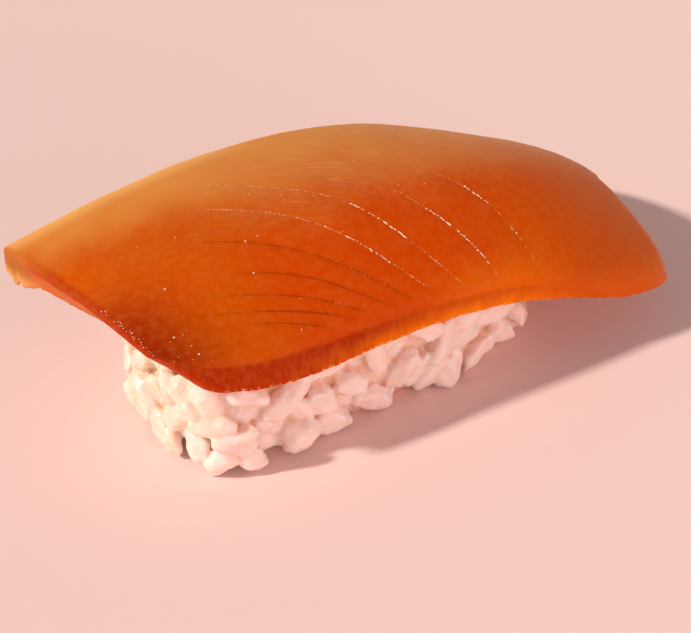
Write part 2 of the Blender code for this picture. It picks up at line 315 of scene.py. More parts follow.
# Where each look shows: its greatest share, then its limits. A limit names one of the
# values kept on the mesh, and says where the look starts and where it is full.
ZONES = {
    "red": (1, ("along", 0.1, 0.36), ("along", 0.82, 0.55), ("across", 0.66, 0.3)),
    # The near left corner: a darker tone of the flesh with painted shade over it
    "dark and shaded corner": (1, ("along", 0.16, 0), ("across", 0.6, 0.2)),
    # Painted glow of light through the thin near edge
    "near glow": (0.35, ("along", 0.42, 0.62), ("along", 0.8, 0.64), ("across", 0.12, 0)),
    # Painted shade along the rounded left edge, which damps the key light's highlight there
    "left edge": (0.8, ("along", 0.016, 0.004), ("across", 1, 0.7)),
    "low end": (0.85, ("along", 0.8, 1)),
    # Painted glow of light through the thin far rim
    "rim": (0.75, ("along", 0.5, 0.3), ("across", 0.9, 1)),
    # Painted sheen along the fibres
    "silk": (1, ("along", 0.2, 0.5), ("along", 0.9, 0.7), ("across", 0.3, 0.55)),
    # Painted glow of light through the lower part of the cut
    "cut glow": (1, ("depth", 0.2, 1), ("along", 0.1, 0.5)),
    # Painted bounce light on the lower left end face
    "left face": (0.42, ("along", 0.03, 0.01), ("across", 0.05, 0.3), ("depth", 0.1, 0.4)),
    "warm cut": (1, ("along", 0.3, 0.6)),
    # Painted highlights on the frayed fibres of the lower edge
    "frayed": (0.6, ("depth", 0.9, 0.97), ("across", 0.3, 0.1)),
    "cut": (1, ("along", 0.82, 0.58)),
    # Painted glow of light through the torn flap
    "torn glow": (0.6, ("depth", 0.4, 1)),
    "light grain": (1, ("tint_and_bounce", 0.1, 0.45)),
    # The grain tint also carries a painted rosy bounce light towards the right end
    "pink grain": (1, ("tint_and_bounce", 0.4, 0.95)),
    # Painted warm glow of light through the grains where they meet
    "crease_glow": (0.6, ("gap", 0.6, 3)),
    # Painted warm shade deep between the grains and in the open hollows
    "gap": (0.9, ("gap", 3, 7)),
    "hollow": (0.6, ("inset", 1.5, 3.4)),
}

# The pale far side, partly the flesh's tone and partly painted sheen, starts nearer to the
# far edge at the left end than further right, and is full at this share of the way from
# there to the far edge
PALE_FROM_LEFT = 0.72
PALE_FROM_RIGHT = 0.24
PALE_ALONG = (0, 0.42)
PALE_FULL = 1.02

# Lines on the seams: the distances in millimetres where each one starts and is full, and
# how strong each one is. Silk elsewhere is how much of the painted sheen on the fibres shows
# outside their zone.
SEAM_LINE = (0.17, 0.05)
SEAM_HALO = (0.7, 0)
SEAM_HALO_SHARE = 0.16
SEAM_THREAD = (0.1, 0.02)
SEAM_THREAD_SHARE = 0.6
DARK_SEAM_SHARE = 0.46
LIGHT_SEAM_SHARE = 0.1
SILK_ELSEWHERE = 0.12

# Uneven patterns: the noise's size and shape, the values between which it changes, and
# what it gives at the low one and at the high one
PATTERNS = {
    "drift": dict(size=9 * MM, detail=3, low=0.3, high=0.7, least=-0.06, most=0.06),
    # The silk patterns place the painted sheen on the fibres
    "silk streaks": dict(
        size=0.17 * MM, roughness=0.6, stretch=26, heading=-38, low=0.5, high=0.72, most=0.4
    ),
    "silk arcs": dict(
        size=0.2 * MM, roughness=0.6, stretch=20, heading=-12, low=0.62, high=0.74, most=0.12
    ),
    "silk patches": dict(size=7 * MM, low=0.4, high=0.6, least=0.15),
    "broken line": dict(size=3 * MM, low=0.3, high=0.6, least=0.4),
    "fine thread": dict(size=0.5 * MM, detail=1, low=0.45, high=0.62),
    "cut clouds": dict(size=3.5 * MM, detail=3, low=0.3, high=0.65, least=0.3, most=0.85),
    "cut fibres": dict(size=0.5 * MM, upright=9, low=0.35, high=0.7, least=-0.04, most=0.07),
    "frayed fibres": dict(size=0.5 * MM, upright=9, low=0.5, high=0.62),
    "mottle": dict(size=1.1 * MM, detail=4, roughness=0.6, low=0.35, high=0.75, most=0.14),
    "sheen": dict(size=1.1 * MM, detail=4, roughness=0.6, low=0.3, high=0.7, least=0.36, most=0.5),
    # Blotches of the drops' painted highlight, whiter
    "drop glint": dict(size=0.4 * MM, detail=1, low=0.3, high=0.7, most=0.3),
    "milk": dict(size=1.3 * MM, detail=3, low=0.4, high=0.7, most=0.35),
    "wet rice": dict(size=1.3 * MM, detail=3, low=0.35, high=0.65, least=0.38, most=0.22),
}

# Reliefs too fine for the mesh: the noise's size and shape, its height and its strength
RELIEFS = {
    "flesh grain": (dict(size=0.35 * MM, detail=3, roughness=0.6), 0.03 * MM, 0.35),
    "flesh fibre": (dict(size=0.3 * MM, stretch=12, heading=-38), 0.03 * MM, 0.3),
    "rice skin": (dict(size=0.45 * MM, detail=3), 0.05 * MM, 0.22),
}
# The white of the painted highlights on the drops
GLINT_WHITE = (1, 1, 1, 1)
MILK_WHITE = (1, 0.98, 0.95, 1)

# The camera, placed to see the piece from the same side and height as the photograph
CAMERA_TARGET = (-8.41 * MM, -8.92 * MM, 13.0 * MM)
CAMERA_AZIMUTH = -36.0
CAMERA_ELEVATION = 37.0
CAMERA_DISTANCE = 329.0 * MM
SENSOR_WIDTH = 36.0
CAMERA_LENS = 135.46

# The floor and the lights: a low warm key light from the left, a wide panel low in front,
# and surroundings that dim between two heights to this share of their strength
FLOOR_SIZE = 3.0
KEY_AZIMUTH = -107.4
KEY_ELEVATION = 36.0
KEY_COLOUR = (1.0, 0.9, 0.8)
FILL_WIDTH = 0.5
FILL_HEIGHT = 0.16
FILL_PLACE = (0.12, -0.42, 0.1)
FILL_COLOUR = (1.0, 0.68, 0.62)
DIMMER_FROM = 0.15
DIMMEST_FROM = 0.8
OVERHEAD_SHARE = 0.25


def from_screen(red, green, blue):
    """A colour given as it looks on a screen, 0 to 255, as the shader's own values."""
    shares = [value / 255 for value in (red, green, blue)]
    linear = [
        share / 12.92 if share <= 0.04045 else ((share + 0.055) / 1.055) ** 2.4
        for share in shares
    ]
    return (*linear, 1.0)


def colour_setting(name, description, *screen):
    return FloatVectorProperty(
        name=name, description=description, subtype="COLOR", size=4, min=0, max=1,
        default=from_screen(*screen),
    )


def length_setting(name, description, length):
    return FloatProperty(
        name=name, description=description, default=length, min=0, precision=5,
        subtype="DISTANCE", unit="LENGTH",
    )


def number_setting(name, description, number, **more):
    return FloatProperty(name=name, description=description, default=number, min=0, **more)


def count_setting(name, description, count, least=0):
    return IntProperty(name=name, description=description, default=count, min=least)


class SliceSettings(bpy.types.PropertyGroup):
    """Sizes and colours of the slice of fish."""

    cells_long: count_setting("Cells along", "Rows of faces along the slice", 250, 20)
    cells_wide: count_setting("Cells across", "Rows of faces across the slice", 118, 10)
    edge_rounding: length_setting("Edge rounding", "Radius of the softened upper edge", 0.6 * MM)
    corner_rounding: length_setting("Corner rounding", "Radius of the near left corner", 2.4 * MM)
    seam_depth: length_setting("Seam depth", "How deep the seams between layers lie", 0.06 * MM)
    layer_swell: length_setting("Layer swell", "How far the flesh rises between seams", 0.07 * MM)
    deep: colour_setting("Deep flesh", "Reddest part of the slice", 208, 74, 0)
    warm: colour_setting("Warm flesh", "Orange part of the slice", 206, 86, 0)
    # Dusky flesh: a darker tone with painted shade at the near left corner, and painted shade along the
    # rounded left edge
    dusky: colour_setting("Dusky flesh", "Darkest part, at the near left corner", 164, 42, 0)
    # Pale flesh: the far side's tone with painted sheen over it; also the tint of the mottle
    pale: colour_setting("Pale flesh", "Far side, lighter", 224, 145, 66)
    tan: colour_setting("Low end", "Thin low end of the slice", 201, 97, 31)
    # Rim: painted glow through the thin far rim; the same colour paints the sheen of the silk, the
    # highlights of the frayed edges, the glow of the torn end and the pale seam threads
    rim: colour_setting("Rim", "Light that comes through the thin far rim", 246, 192, 118)
    cut: colour_setting("Cut face", "Face of the cut at the near side", 178, 46, 0)
    # Cut glow: painted glow of light through the thin cut and near edge, and painted bounce light on
    # the lower left end face
    glow: colour_setting("Cut glow", "Where light comes through the cut", 255, 138, 2)
    seam: colour_setting("Seam", "Thin dark line between layers", 110, 20, 0)
    flap: colour_setting("Torn end", "Ragged far corner of the left end", 180, 104, 44)


class RiceSettings(bpy.types.PropertyGroup):
    """Sizes and colours of the rice."""

    grain_length: length_setting("Grain length", "Length of a cooked grain", 6.6 * MM)
    grain_width: length_setting("Grain width", "Width of a cooked grain", 3.7 * MM)
    spacing: length_setting("Spacing", "Least distance between two grains", 2.3 * MM)
    seed: count_setting("Seed", "Start of the random draw", 5)
    voxel: length_setting("Voxel", "Fineness at which the grains stick together", 0.22 * MM)
    cream: colour_setting("Creamy grain", "Colour of a yellower grain", 234, 211, 190)
    light: colour_setting("Grain", "Colour of a usual grain", 244, 221, 208)
    # Pink grain: partly a rosier grain tone, partly painted rosy bounce light towards the right end
    pink: colour_setting("Pink grain", "Colour of a rosier grain", 254, 221, 213)
    # Crease: painted warm glow of light through the grains where they meet
    crease_glow: colour_setting("Crease", "Colour where two grains meet", 244, 206, 150)
    # Gap: painted warm shade deep between the grains
    gap: colour_setting("Gap", "Colour deep between the grains", 214, 128, 52)


class MoistureSettings(bpy.types.PropertyGroup):
    """Sizes and colour of the tiny drops on the slice."""

    drop: length_setting("Drop", "Radius of a usual drop", 0.105 * MM)
    spacing: length_setting("Spacing", "Usual distance between drops on a seam", 0.4 * MM)
    loose: count_setting("Loose drops", "Drops away from the seams", 84)
    seed: count_setting("Seed", "Start of the random draw", 3)
    # The drops' pale colour is a painted highlight
    colour: colour_setting("Drop colour", "Colour of the drops", 255, 226, 180)


class StageSettings(bpy.types.PropertyGroup):
    """The floor and the lights."""

    floor: colour_setting("Floor", "Colour of the floor", 250, 222, 218)
    sky: colour_setting("Surroundings", "Colour of the soft light from all round", 255, 236, 230)
    sky_strength: number_setting("Surroundings strength", "Brightness of the soft light", 0.75)
    fill_power: number_setting(
        "Fill power", "Power of the low panel in front", 0.8, subtype="POWER", unit="POWER"
    )
    key_strength: number_setting("Key strength", "Brightness of the key light", 2.95)
    key_softness: number_setting(
        "Key softness", "How wide the key light is", math.radians(4.5),
        subtype="ANGLE", unit="ROTATION",
    )


class NigiriSettings(bpy.types.PropertyGroup):
    """All settings of the piece."""

    fish: PointerProperty(type=SliceSettings, name="Slice", description="Slice of fish")
    rice: PointerProperty(type=RiceSettings, name="Rice", description="Pressed rice")
    moisture: PointerProperty(type=MoistureSettings, name="Moisture", description="Drops")
    stage: PointerProperty(type=StageSettings, name="Stage", description="Floor and lights")


def mix(first, second, part):
    return first * (1 - part) + second * part


def smooth_step(low, high, value):
    """0 at low, 1 at high, with a smooth rise between them."""
    share = np.clip((value - low) / (high - low), 0, 1)
    return share * share * (3 - 2 * share)


def bump_round(value, middle, reach):
    """1 at the middle, falling smoothly to 0 at this reach."""
    return 1 - smooth_step(0, reach, np.abs(value - middle))


def curve_through(heights):
    """The smooth curve through evenly spaced heights, as the factors of a polynomial."""
    return np.polyfit(np.linspace(0, 1, len(heights)), heights, len(heights) - 1)


def slice_plan(along, across):
    """Where places on the slice lie, seen from above."""
    near_y = mix(NEAR_Y_LEFT, NEAR_Y_RIGHT, along)
    near_y = near_y + LEFT_CORNER_CUT * np.maximum(0, 1 - along / LEFT_CORNER_REACH) ** 2
    near_y = near_y + RIGHT_CORNER_CUT * np.maximum(0, 1 - (1 - along) / RIGHT_CORNER_REACH) ** 2
    sagging = np.clip((along - SAG_START) / (1 - SAG_START), 0, 1)
    near_y = near_y - NEAR_SIDE_SAG * np.sin(math.pi * sagging) ** 2
    far_y = mix(FAR_Y_LEFT, FAR_Y_RIGHT, along)
    left_x = mix(LEFT_NEAR_X, LEFT_FAR_X, across)
    right_x = mix(RIGHT_NEAR_X, RIGHT_FAR_X, across)
    x = mix(left_x, right_x, along)
    outwards = np.maximum(0, 1 - across / CORNER_REACH_ACROSS)
    outwards = outwards * np.maximum(0, 1 - along) ** CORNER_REACH_FADE
    return x - CORNER_REACH_OUT * outwards, mix(near_y, far_y, across)


def top_height(along, across):
    """The height of the upper skin: an arch that falls from the crown to both edges."""
    crown = np.polyval(curve_through(CROWN_HEIGHTS), along)
    near_fall = crown - np.polyval(curve_through(NEAR_HEIGHTS), along)
    far_fall = crown - np.polyval(curve_through(FAR_HEIGHTS), along)
    near_part = ((CROWN_PLACE - across) / CROWN_PLACE) ** 2
    far_part = ((across - CROWN_PLACE) / (1 - CROWN_PLACE)) ** 2
    height = crown - np.where(across < CROWN_PLACE, near_fall * near_part, far_fall * far_part)
    far_lift = FAR_LEFT_LIFT * np.maximum(0, 1 - along) ** FAR_LEFT_LIFT_FADE
    far_lift = far_lift + FAR_SIDE_LIFT * bump_round(along, *FAR_SIDE_LIFT_ALONG)
    low_end = bump_round(along, *LOW_END_LIFT_ALONG) * smooth_step(*LOW_END_LIFT_ACROSS, across)
    return height + far_lift * smooth_step(*FAR_LIFT_ACROSS, across) + LOW_END_LIFT * low_end


def thickness(along, across):
    """The upright thickness: thickest at the crown, thinner at the edges and the tip."""
    near = mix(THICKNESS_NEAR_LEFT, THICKNESS_NEAR_MIDDLE, np.minimum(1, 2 * along))
    on_near_side = across < CROWN_PLACE
    edge = np.where(on_near_side, near, THICKNESS_FAR)
    reach = np.where(on_near_side, CROWN_PLACE, 1 - CROWN_PLACE)
    arch = (np.abs(across - CROWN_PLACE) / reach) ** 2
    return mix(mix(THICKNESS_CROWN, edge, arch), THICKNESS_TIP, along**TIP_THINNING)


def slice_shift():
    """How far the loft is moved so that it lies in its solid's box."""
    along, across = np.meshgrid(np.linspace(0, 1, 101), np.linspace(0, 1, 41))
    x, y = slice_plan(along, across)
    low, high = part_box("tuna_slice")
    middle = (low + high) / 2
    return middle.x - (x.min() + x.max()) / 2, middle.y - (y.min() + y.max()) / 2


SHIFT_X, SHIFT_Y = slice_shift()


def place_on_top(along, across):
    """A place on the upper skin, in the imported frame."""
    x, y = slice_plan(along, across)
    return Vector((x + SHIFT_X, y + SHIFT_Y, top_height(along, across)))


def wander(points, size, seed):
    """Smooth random values about 0, one for each point, with waves of this size."""
    start = Vector((seed * 7.3, seed * 3.1, seed * 5.7))
    return np.array([noise.noise(Vector(point) + start) for point in points / size])


def waves(points, kinds):
    """The height at each point of these kinds of waves together."""
    return sum(wander(points, size, seed) * height for size, height, seed in kinds)


def crowd_to_ends(share, cells, rows=3.0, squeeze=0.66):
    """Evenly spaced shares, moved closer together near 0 and 1."""
    reach = rows / cells
    pull = squeeze * reach
    moved = share + pull * (np.exp(-share / reach) - np.exp(-(1 - share) / reach))
    return (moved - pull) / (1 - 2 * pull)


def seam_curves():
    """Each seam as its name, a curve that gives along for across, and its far end."""
    curves = []
    for name, places in (*LIGHT_SEAMS.items(), *DARK_SEAMS.items()):
        across, along = zip(*places)
        curves.append((name, np.polyfit(across, along, 3), across[0]))
    return curves


def seam_field(along, across):
    """Signed distance to every seam, and how strongly each one shows there."""
    distances = []
    strengths = []
    for _, curve, far_end in seam_curves():
        held = np.clip(across, 0, far_end)
        slope = np.polyval(np.polyder(curve), held) * SLICE_LENGTH / SLICE_WIDTH
        beyond = (across - held) * slope * SLICE_WIDTH / SLICE_LENGTH
        sideways = along - np.polyval(curve, held) - beyond
        distances.append(sideways * SLICE_LENGTH / np.sqrt(1 + slope**2))
        shown = 1 - smooth_step(far_end - SEAM_FADE, far_end + SEAM_FADE, across)
        strengths.append(shown * smooth_step(*SEAM_NEAR_FADE, across))
    return np.array(distances), np.array(strengths)


def seam_marks(along, across):
    """For each place: its offset from the nearest seam, how strong and how light that seam is.

    The sign of the offset changes at every seam and nowhere else, so that a thin line can
    be drawn where it passes 0.
    """
    distances, strengths = seam_field(along, across)
    nearest = np.abs(distances).argmin(axis=0)
    passed = (distances > 0).sum(axis=0)
    offset = np.abs(distances).min(axis=0) * np.where(passed % 2, -1, 1)
    strength = np.take_along_axis(strengths, nearest[None], axis=0)[0]
    return offset, strength, nearest < len(LIGHT_SEAMS)


def deselect_all():
    for thing in bpy.context.selected_objects:
        thing.select_set(False)


def edit_mode(on):
    bpy.ops.object.mode_set(mode="EDIT" if on else "OBJECT")


def select_mesh(action="SELECT"):
    bpy.ops.mesh.select_all(action=action)


def place_of(mesh):
    """The mesh's points as an array."""
    points = np.zeros(len(mesh.vertices) * 3)
    mesh.vertices.foreach_get("co", points)
    return points.reshape(-1, 3)


def normals_of(mesh):
    """The outward direction at each of the mesh's points."""
    normals = np.zeros(len(mesh.vertices) * 3)
    mesh.vertices.foreach_get("normal", normals)
    return normals.reshape(-1, 3)


def set_place(mesh, points):
    mesh.vertices.foreach_set("co", np.asarray(points, np.float32).ravel())
    mesh.update()


def keep_values(mesh, name, values):
    """Stores one number a point, for the material to read."""
    layer = mesh.attributes.new(name, "FLOAT", "POINT")
    layer.data.foreach_set("value", np.asarray(values, np.float32))


def join_into(piece, others, name):
    """Joins the others into this piece and names it."""
    deselect_all()
    for thing in (*others, piece):
        thing.select_set(True)
    bpy.context.view_layer.objects.active = piece
    bpy.ops.object.join()
    piece.name = name


def hand_over(piece, material, slot, *nodes):
    """Gives a finished piece its material and its place in the frame.

    Nodes are the solids that the piece stands for.
    """
    piece.data.shade_smooth()
    piece.data.materials.clear()
    piece.data.materials.append(material)
    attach(piece, BODY)
    if nodes:
        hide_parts(*nodes)


def add_slab(cells_long, cells_wide, rows):
    """A flat grid drawn down row by row into a closed slab, one unit in every direction."""
    deselect_all()
    bpy.ops.mesh.primitive_grid_add(
        x_subdivisions=cells_long, y_subdivisions=cells_wide, size=1, location=(0, 0, 0)
    )
    slab = bpy.context.object
    edit_mode(True)
    select_mesh()
    for _ in range(rows):
        bpy.ops.mesh.extrude_region_move(TRANSFORM_OT_translate={"value": (0, 0, -1 / rows)})
    select_mesh()
    bpy.ops.mesh.normals_make_consistent(inside=False)
    edit_mode(False)
    return slab


def nearness_to_edges(along, across, radius):
    """From 0 to 1 over this radius, how near each place is to an end and to a side."""
    end = 1 - np.minimum(along, 1 - along) * SLICE_LENGTH / radius
    side = 1 - np.minimum(across, 1 - across) * SLICE_WIDTH / radius
    return np.clip(end, 0, 1), np.clip(side, 0, 1)


def rounding_drop(along, across, radius):
    """How far a skin lies back near the edges of the slice, so that they are round."""
    reach = np.hypot(*nearness_to_edges(along, across, radius))
    return radius * (1 - np.sqrt(1 - np.minimum(reach, 1) ** 2))


def round_corners(along, across, near_left_radius):
    """Moves places near the corners inwards: the near left one is rounder than the others."""
    at_left = along < 0.5
    at_near = across < 0.5
    radius = np.where(at_left & at_near, near_left_radius, SHARP_CORNER)
    end, side = nearness_to_edges(along, across, radius)
    end_move = end * (1 - np.sqrt(1 - side**2 / 2)) * radius / SLICE_LENGTH
    side_move = side * (1 - np.sqrt(1 - end**2 / 2)) * radius / SLICE_WIDTH
    along = along + np.where(at_left, end_move, -end_move)
    across = across + np.where(at_near, side_move, -side_move)
    return along, across


def upper_skin(along, across, place, seams, settings):
    """The height of the upper skin with its rounded edges, grooves, swells and waves."""
    offset, strength, _ = seams
    blunter = smooth_step(*LOW_END_ROUNDING_ALONG, along) * (across < 0.5)
    rounding = settings.edge_rounding + LOW_END_ROUNDING * blunter
    groove = strength * np.exp(-((offset / SEAM_WIDTH) ** 2))
    swell = strength * smooth_step(0, SWELL_REACH, np.abs(offset))
    relief = settings.layer_swell * swell - settings.seam_depth * groove
    skin = top_height(along, across) - rounding_drop(along, across, rounding)
    return skin + relief + waves(place, SKIN_WAVES) - SKIN_SINK


def lower_skin(along, across, on_near, on_left, torn):
    """The height of the underside, with its frayed, torn and hanging edges."""
    place = np.stack([along, across, 0 * along], -1)
    edge = wander(place, FRAY_SIZE, 4) * (NEAR_FRAY * on_near + LEFT_FRAY * on_left)
    edge = edge - np.abs(wander(place, TEAR_SIZE, 5)) * TEAR_DEPTH * torn
    flap = bump_round(along, 0, FLAP_ALONG) * bump_round(across, *FLAP_ACROSS)
    edge = edge - flap * (FLAP_HANG + np.abs(wander(place, FLAP_TEAR_SIZE, 8)) * FLAP_TEAR_DEPTH)
    belly = bump_round(along, *LOW_END_BELLY_ALONG) * smooth_step(*LOW_END_BELLY_ACROSS, across)
    skin = top_height(along, across) - thickness(along, across)
    skin = skin + rounding_drop(along, across, LOWER_ROUNDING)
    return skin + edge - LOW_END_BELLY * belly


def shape_slice(slab, settings):
    """Lays the slab on the two skins, and keeps on it what the material reads."""
    flat = place_of(slab.data)
    along = crowd_to_ends(flat[:, 0] + 0.5, settings.cells_long)
    across = crowd_to_ends(flat[:, 1] + 0.5, settings.cells_wide)
    depth = np.clip(crowd_to_ends(-flat[:, 2], CUT_ROWS, *CUT_CROWDING), 0, 1)
    along, across = round_corners(along, across, settings.corner_rounding)
    x, y = slice_plan(along, across)
    seams = seam_marks(along, across)
    on_near = bump_round(across, 0, NEAR_CUT_REACH)
    on_left = bump_round(along, 0, LEFT_CUT_REACH)
    torn = on_left * smooth_step(*TORN_ACROSS, across)
    upper = upper_skin(along, across, np.stack([x, y, 0 * x], -1), seams, settings)
    z = mix(upper, lower_skin(along, across, on_near, on_left, torn), depth)

    bulge = np.abs(waves(np.stack([x, y, z], -1), CUT_WAVES)) * depth * (1 - depth) * 4
    fade = (1 - along) ** END_CUT_FADE
    under_x = LEFT_END_UNDERCUT * fade * (1 - across**UNDERCUT_FADE)
    under_y = NEAR_SIDE_FLARE * fade * (1 - across) ** 2
    low_end = smooth_step(*LOW_END_REACH_ALONG, along) * bump_round(across, *LOW_END_REACH_ACROSS)
    x = x + LOW_END_REACH * low_end + under_x * depth + bulge * on_left
    y = y - under_y * depth + bulge * on_near
    set_place(slab.data, np.stack([x + SHIFT_X, y + SHIFT_Y, z], -1))

    on_side = (np.abs(flat[:, :2]) > SIDE_OF_SLAB).any(axis=1)
    offset, strength, light = seams
    kept = {
        "along": along,
        "across": across,
        "depth": depth,
        "seam_offset": offset / MM,
        "seam_strength": strength,
        "seam_light": light,
        "torn": torn,
        "cut_face": on_side * smooth_step(*CUT_FACE_DEPTH, depth),
    }
    for name, values in kept.items():
        keep_values(slab.data, name, values)


class Recipe:
    """A material under way: adds nodes to it and joins them."""

    def __init__(self, name):
        self.material = bpy.data.materials.new(name)
        self.material.use_nodes = True
        self.tree = self.material.node_tree
        self.shader = self.tree.nodes["Principled BSDF"]

    def put(self, socket, value):
        if isinstance(value, bpy.types.NodeSocket):
            self.tree.links.new(value, socket)
        else:
            socket.default_value = value

    def fill(self, node, **values):
        """Sets a node's inputs, with _ for the spaces in their names."""
        for name, value in values.items():
            self.put(node.inputs[name.replace("_", " ")], value)
        return node

    def add(self, kind, **values):
        return self.fill(self.tree.nodes.new("ShaderNode" + kind), **values)

    def finish(self, **values):
        """Sets the surface's own inputs."""
        self.fill(self.shader, **values)
        return self.material

    def kept(self, name):
        node = self.add("Attribute")
        node.attribute_name = name
        return node.outputs["Fac"]

    def clouds(self, size, detail=2.0, roughness=0.5, stretch=1.0, heading=0.0, upright=1.0):
        """Soft noise with blotches of this size, drawn out along a heading or upwards."""
        mapping = self.add("Mapping")
        mapping.vector_type = "TEXTURE"
        spot = self.add("TexCoord").outputs["Object"]
        turn = (0, 0, math.radians(heading))
        self.fill(mapping, Vector=spot, Rotation=turn, Scale=(stretch, 1, upright))
        place = mapping.outputs["Vector"]
        node = self.add("TexNoise", Vector=place, Scale=1 / size, Detail=detail, Roughness=roughness)
        return node.outputs["Fac"]

    def ramp(self, value, low, high, least=0.0, most=1.0):
        """The least at the low value and the most at the high one, smooth between them."""
        node = self.add("MapRange", Value=value, From_Min=low, From_Max=high, To_Min=least, To_Max=most)
        node.interpolation_type = "SMOOTHSTEP"
        return node.outputs["Result"]

    def combine(self, operation, first, second=0.0):
        """The result of a sum with these values, named as the node names it."""
        node = self.add("Math")
        node.operation = operation
        self.put(node.inputs[0], first)
        self.put(node.inputs[1], second)
        return node.outputs[0]

    def times(self, product, *others):
        for value in others:
            product = self.combine("MULTIPLY", product, value)
        return product

    def pattern(self, name):
        """A named pattern: its noise, spread from its least value to its most."""
        look = {"least": 0.0, "most": 1.0, **PATTERNS[name]}
        limits = [look.pop(key) for key in ("low", "high", "least", "most")]
        return self.ramp(self.clouds(**look), *limits)

    def zone(self, name, drift=0.0):
        """How strongly a named look shows, with its limits moved by this drift."""
        share, *limits = ZONES[name]
        ramps = [
            self.ramp(self.combine("ADD", self.kept(value), drift), start, full)
            for value, start, full in limits
        ]
        return self.times(share, *ramps)

    def blend(self, part, first, second):
        """The first colour where part is 0 and the second where it is 1."""
        node = self.add("Mix")
        node.data_type = "RGBA"
        node.clamp_factor = True
        self.put(node.inputs[0], part)
        self.put(node.inputs[6], first)
        self.put(node.inputs[7], second)
        return node.outputs[2]

    def relief(self, name, *normal):
        """A named relief, laid on another one if its normal is given."""
        look, height, strength = RELIEFS[name]
        node = self.add("Bump", Strength=strength, Distance=height, Height=self.clouds(**look))
        for value in normal:
            self.put(node.inputs["Normal"], value)
        return node.outputs["Normal"]


def flesh_colour(recipe, settings):
    """Deep red at the middle, orange round it, tan at the low end, and a pale far side that is
    partly the flesh's tone and partly painted sheen. Painted shade darkens the near left corner
    and the rounded left edge, and a painted glow lights the thin near edge.
    """
    drift = recipe.pattern("drift")
    colour = recipe.blend(recipe.zone("red", drift), settings.warm, settings.deep)
    # Painted shade, over a darker tone of the flesh, at the near left corner
    colour = recipe.blend(recipe.zone("dark and shaded corner"), colour, settings.dusky)
    # Painted glow of light through the thin near edge
    colour = recipe.blend(recipe.zone("near glow"), colour, settings.glow)
    # Painted shade along the rounded left edge, where the key light would give a highlight
    colour = recipe.blend(recipe.zone("left edge"), colour, settings.dusky)
    colour = recipe.blend(recipe.zone("low end", drift), colour, settings.tan)
    # The pale far side: partly the flesh's tone, partly painted sheen
    start = recipe.ramp(recipe.kept("along"), *PALE_ALONG, PALE_FROM_LEFT, PALE_FROM_RIGHT)
    beyond = recipe.combine("SUBTRACT", recipe.combine("ADD", recipe.kept("across"), drift), start)
    share = recipe.combine("DIVIDE", beyond, recipe.combine("SUBTRACT", 1.0, start))
    return recipe.blend(recipe.ramp(share, 0, PALE_FULL), colour, settings.pale)


def add_rim_glow(recipe, colour, settings):
    """A painted glow of light through the thin far rim, most of all at its left part."""
    return recipe.blend(recipe.zone("rim"), colour, settings.rim)


def add_silk_sheen(recipe, colour, settings):
    """Painted sheen along long fine pale fibres that lie over the middle of the far half of the slice.
    """
    fibres = recipe.combine("MAXIMUM", recipe.pattern("silk streaks"), recipe.pattern("silk arcs"))
    here = recipe.combine("ADD", recipe.zone("silk"), SILK_ELSEWHERE)
    shown = recipe.times(fibres, recipe.pattern("silk patches"), here)
    return recipe.blend(shown, colour, settings.rim)


def add_seam_lines(recipe, colour, settings):
    """Thin broken lines where the layers meet: dark ones, and pale ones on a fainter dark."""
    off = recipe.combine("ABSOLUTE", recipe.kept("seam_offset"))
    strength = recipe.kept("seam_strength")
    light = recipe.kept("seam_light")
    halo = recipe.ramp(off, *SEAM_HALO, 0, SEAM_HALO_SHARE)
    line = recipe.combine("MAXIMUM", recipe.ramp(off, *SEAM_LINE), halo)
    share = recipe.ramp(light, 0, 1, DARK_SEAM_SHARE, LIGHT_SEAM_SHARE)
    line = recipe.times(line, strength, recipe.pattern("broken line"), share)
    colour = recipe.blend(line, colour, settings.seam)
    thread = recipe.times(recipe.ramp(off, *SEAM_THREAD), recipe.pattern("fine thread"))
    thread = recipe.times(thread, strength, light, SEAM_THREAD_SHARE)
    return recipe.blend(thread, colour, settings.rim)


def add_cut_face(recipe, colour, settings):
    """The cuts: redder and darker at the left, with a painted glow at their lower edge and painted
    bounce light on the lower left end face, and frayed at their lower edge, where the pale
    fibres are painted highlights.
    """
    glowing = recipe.times(recipe.zone("cut glow"), recipe.pattern("cut clouds"))
    glowing = recipe.combine("ADD", glowing, recipe.pattern("cut fibres"))
    # Painted bounce light on the lower left end face
    glowing = recipe.combine("MAXIMUM", glowing, recipe.zone("left face"))
    upper = recipe.blend(recipe.zone("warm cut"), settings.cut, settings.warm)
    face = recipe.blend(glowing, upper, settings.glow)
    # Painted highlights on the pale frayed fibres along the lower edge
    frayed = recipe.times(recipe.zone("frayed"), recipe.pattern("frayed fibres"))
    face = recipe.blend(frayed, face, settings.rim)
    shown = recipe.times(recipe.zone("cut"), recipe.kept("cut_face"))
    colour = recipe.blend(shown, colour, face)
    # Painted glow of light through the torn flap
    torn = recipe.blend(recipe.zone("torn glow"), settings.flap, settings.rim)
    return recipe.blend(recipe.kept("torn"), colour, torn)


def flesh_material(settings):
    """Moist raw flesh: soft sheen, light let through, fine fibres and seams."""
    recipe = Recipe("moist_flesh")
    colour = flesh_colour(recipe, settings)
    for add_look in (add_rim_glow, add_silk_sheen, add_seam_lines, add_cut_face):
        colour = add_look(recipe, colour, settings)
    colour = recipe.blend(recipe.pattern("mottle"), colour, settings.pale)
    normal = recipe.relief("flesh fibre", recipe.relief("flesh grain"))
    recipe.shader.subsurface_method = "RANDOM_WALK"
    return recipe.finish(
        Base_Color=colour, Roughness=recipe.pattern("sheen"), Normal=normal, IOR=1.36,
        Specular_IOR_Level=0.18, Specular_Tint=(1.0, 0.5, 0.2, 1.0),
        Subsurface_Weight=0.5, Subsurface_Radius=(1.0, 0.28, 0.04), Subsurface_Scale=1.6 * MM,
    )


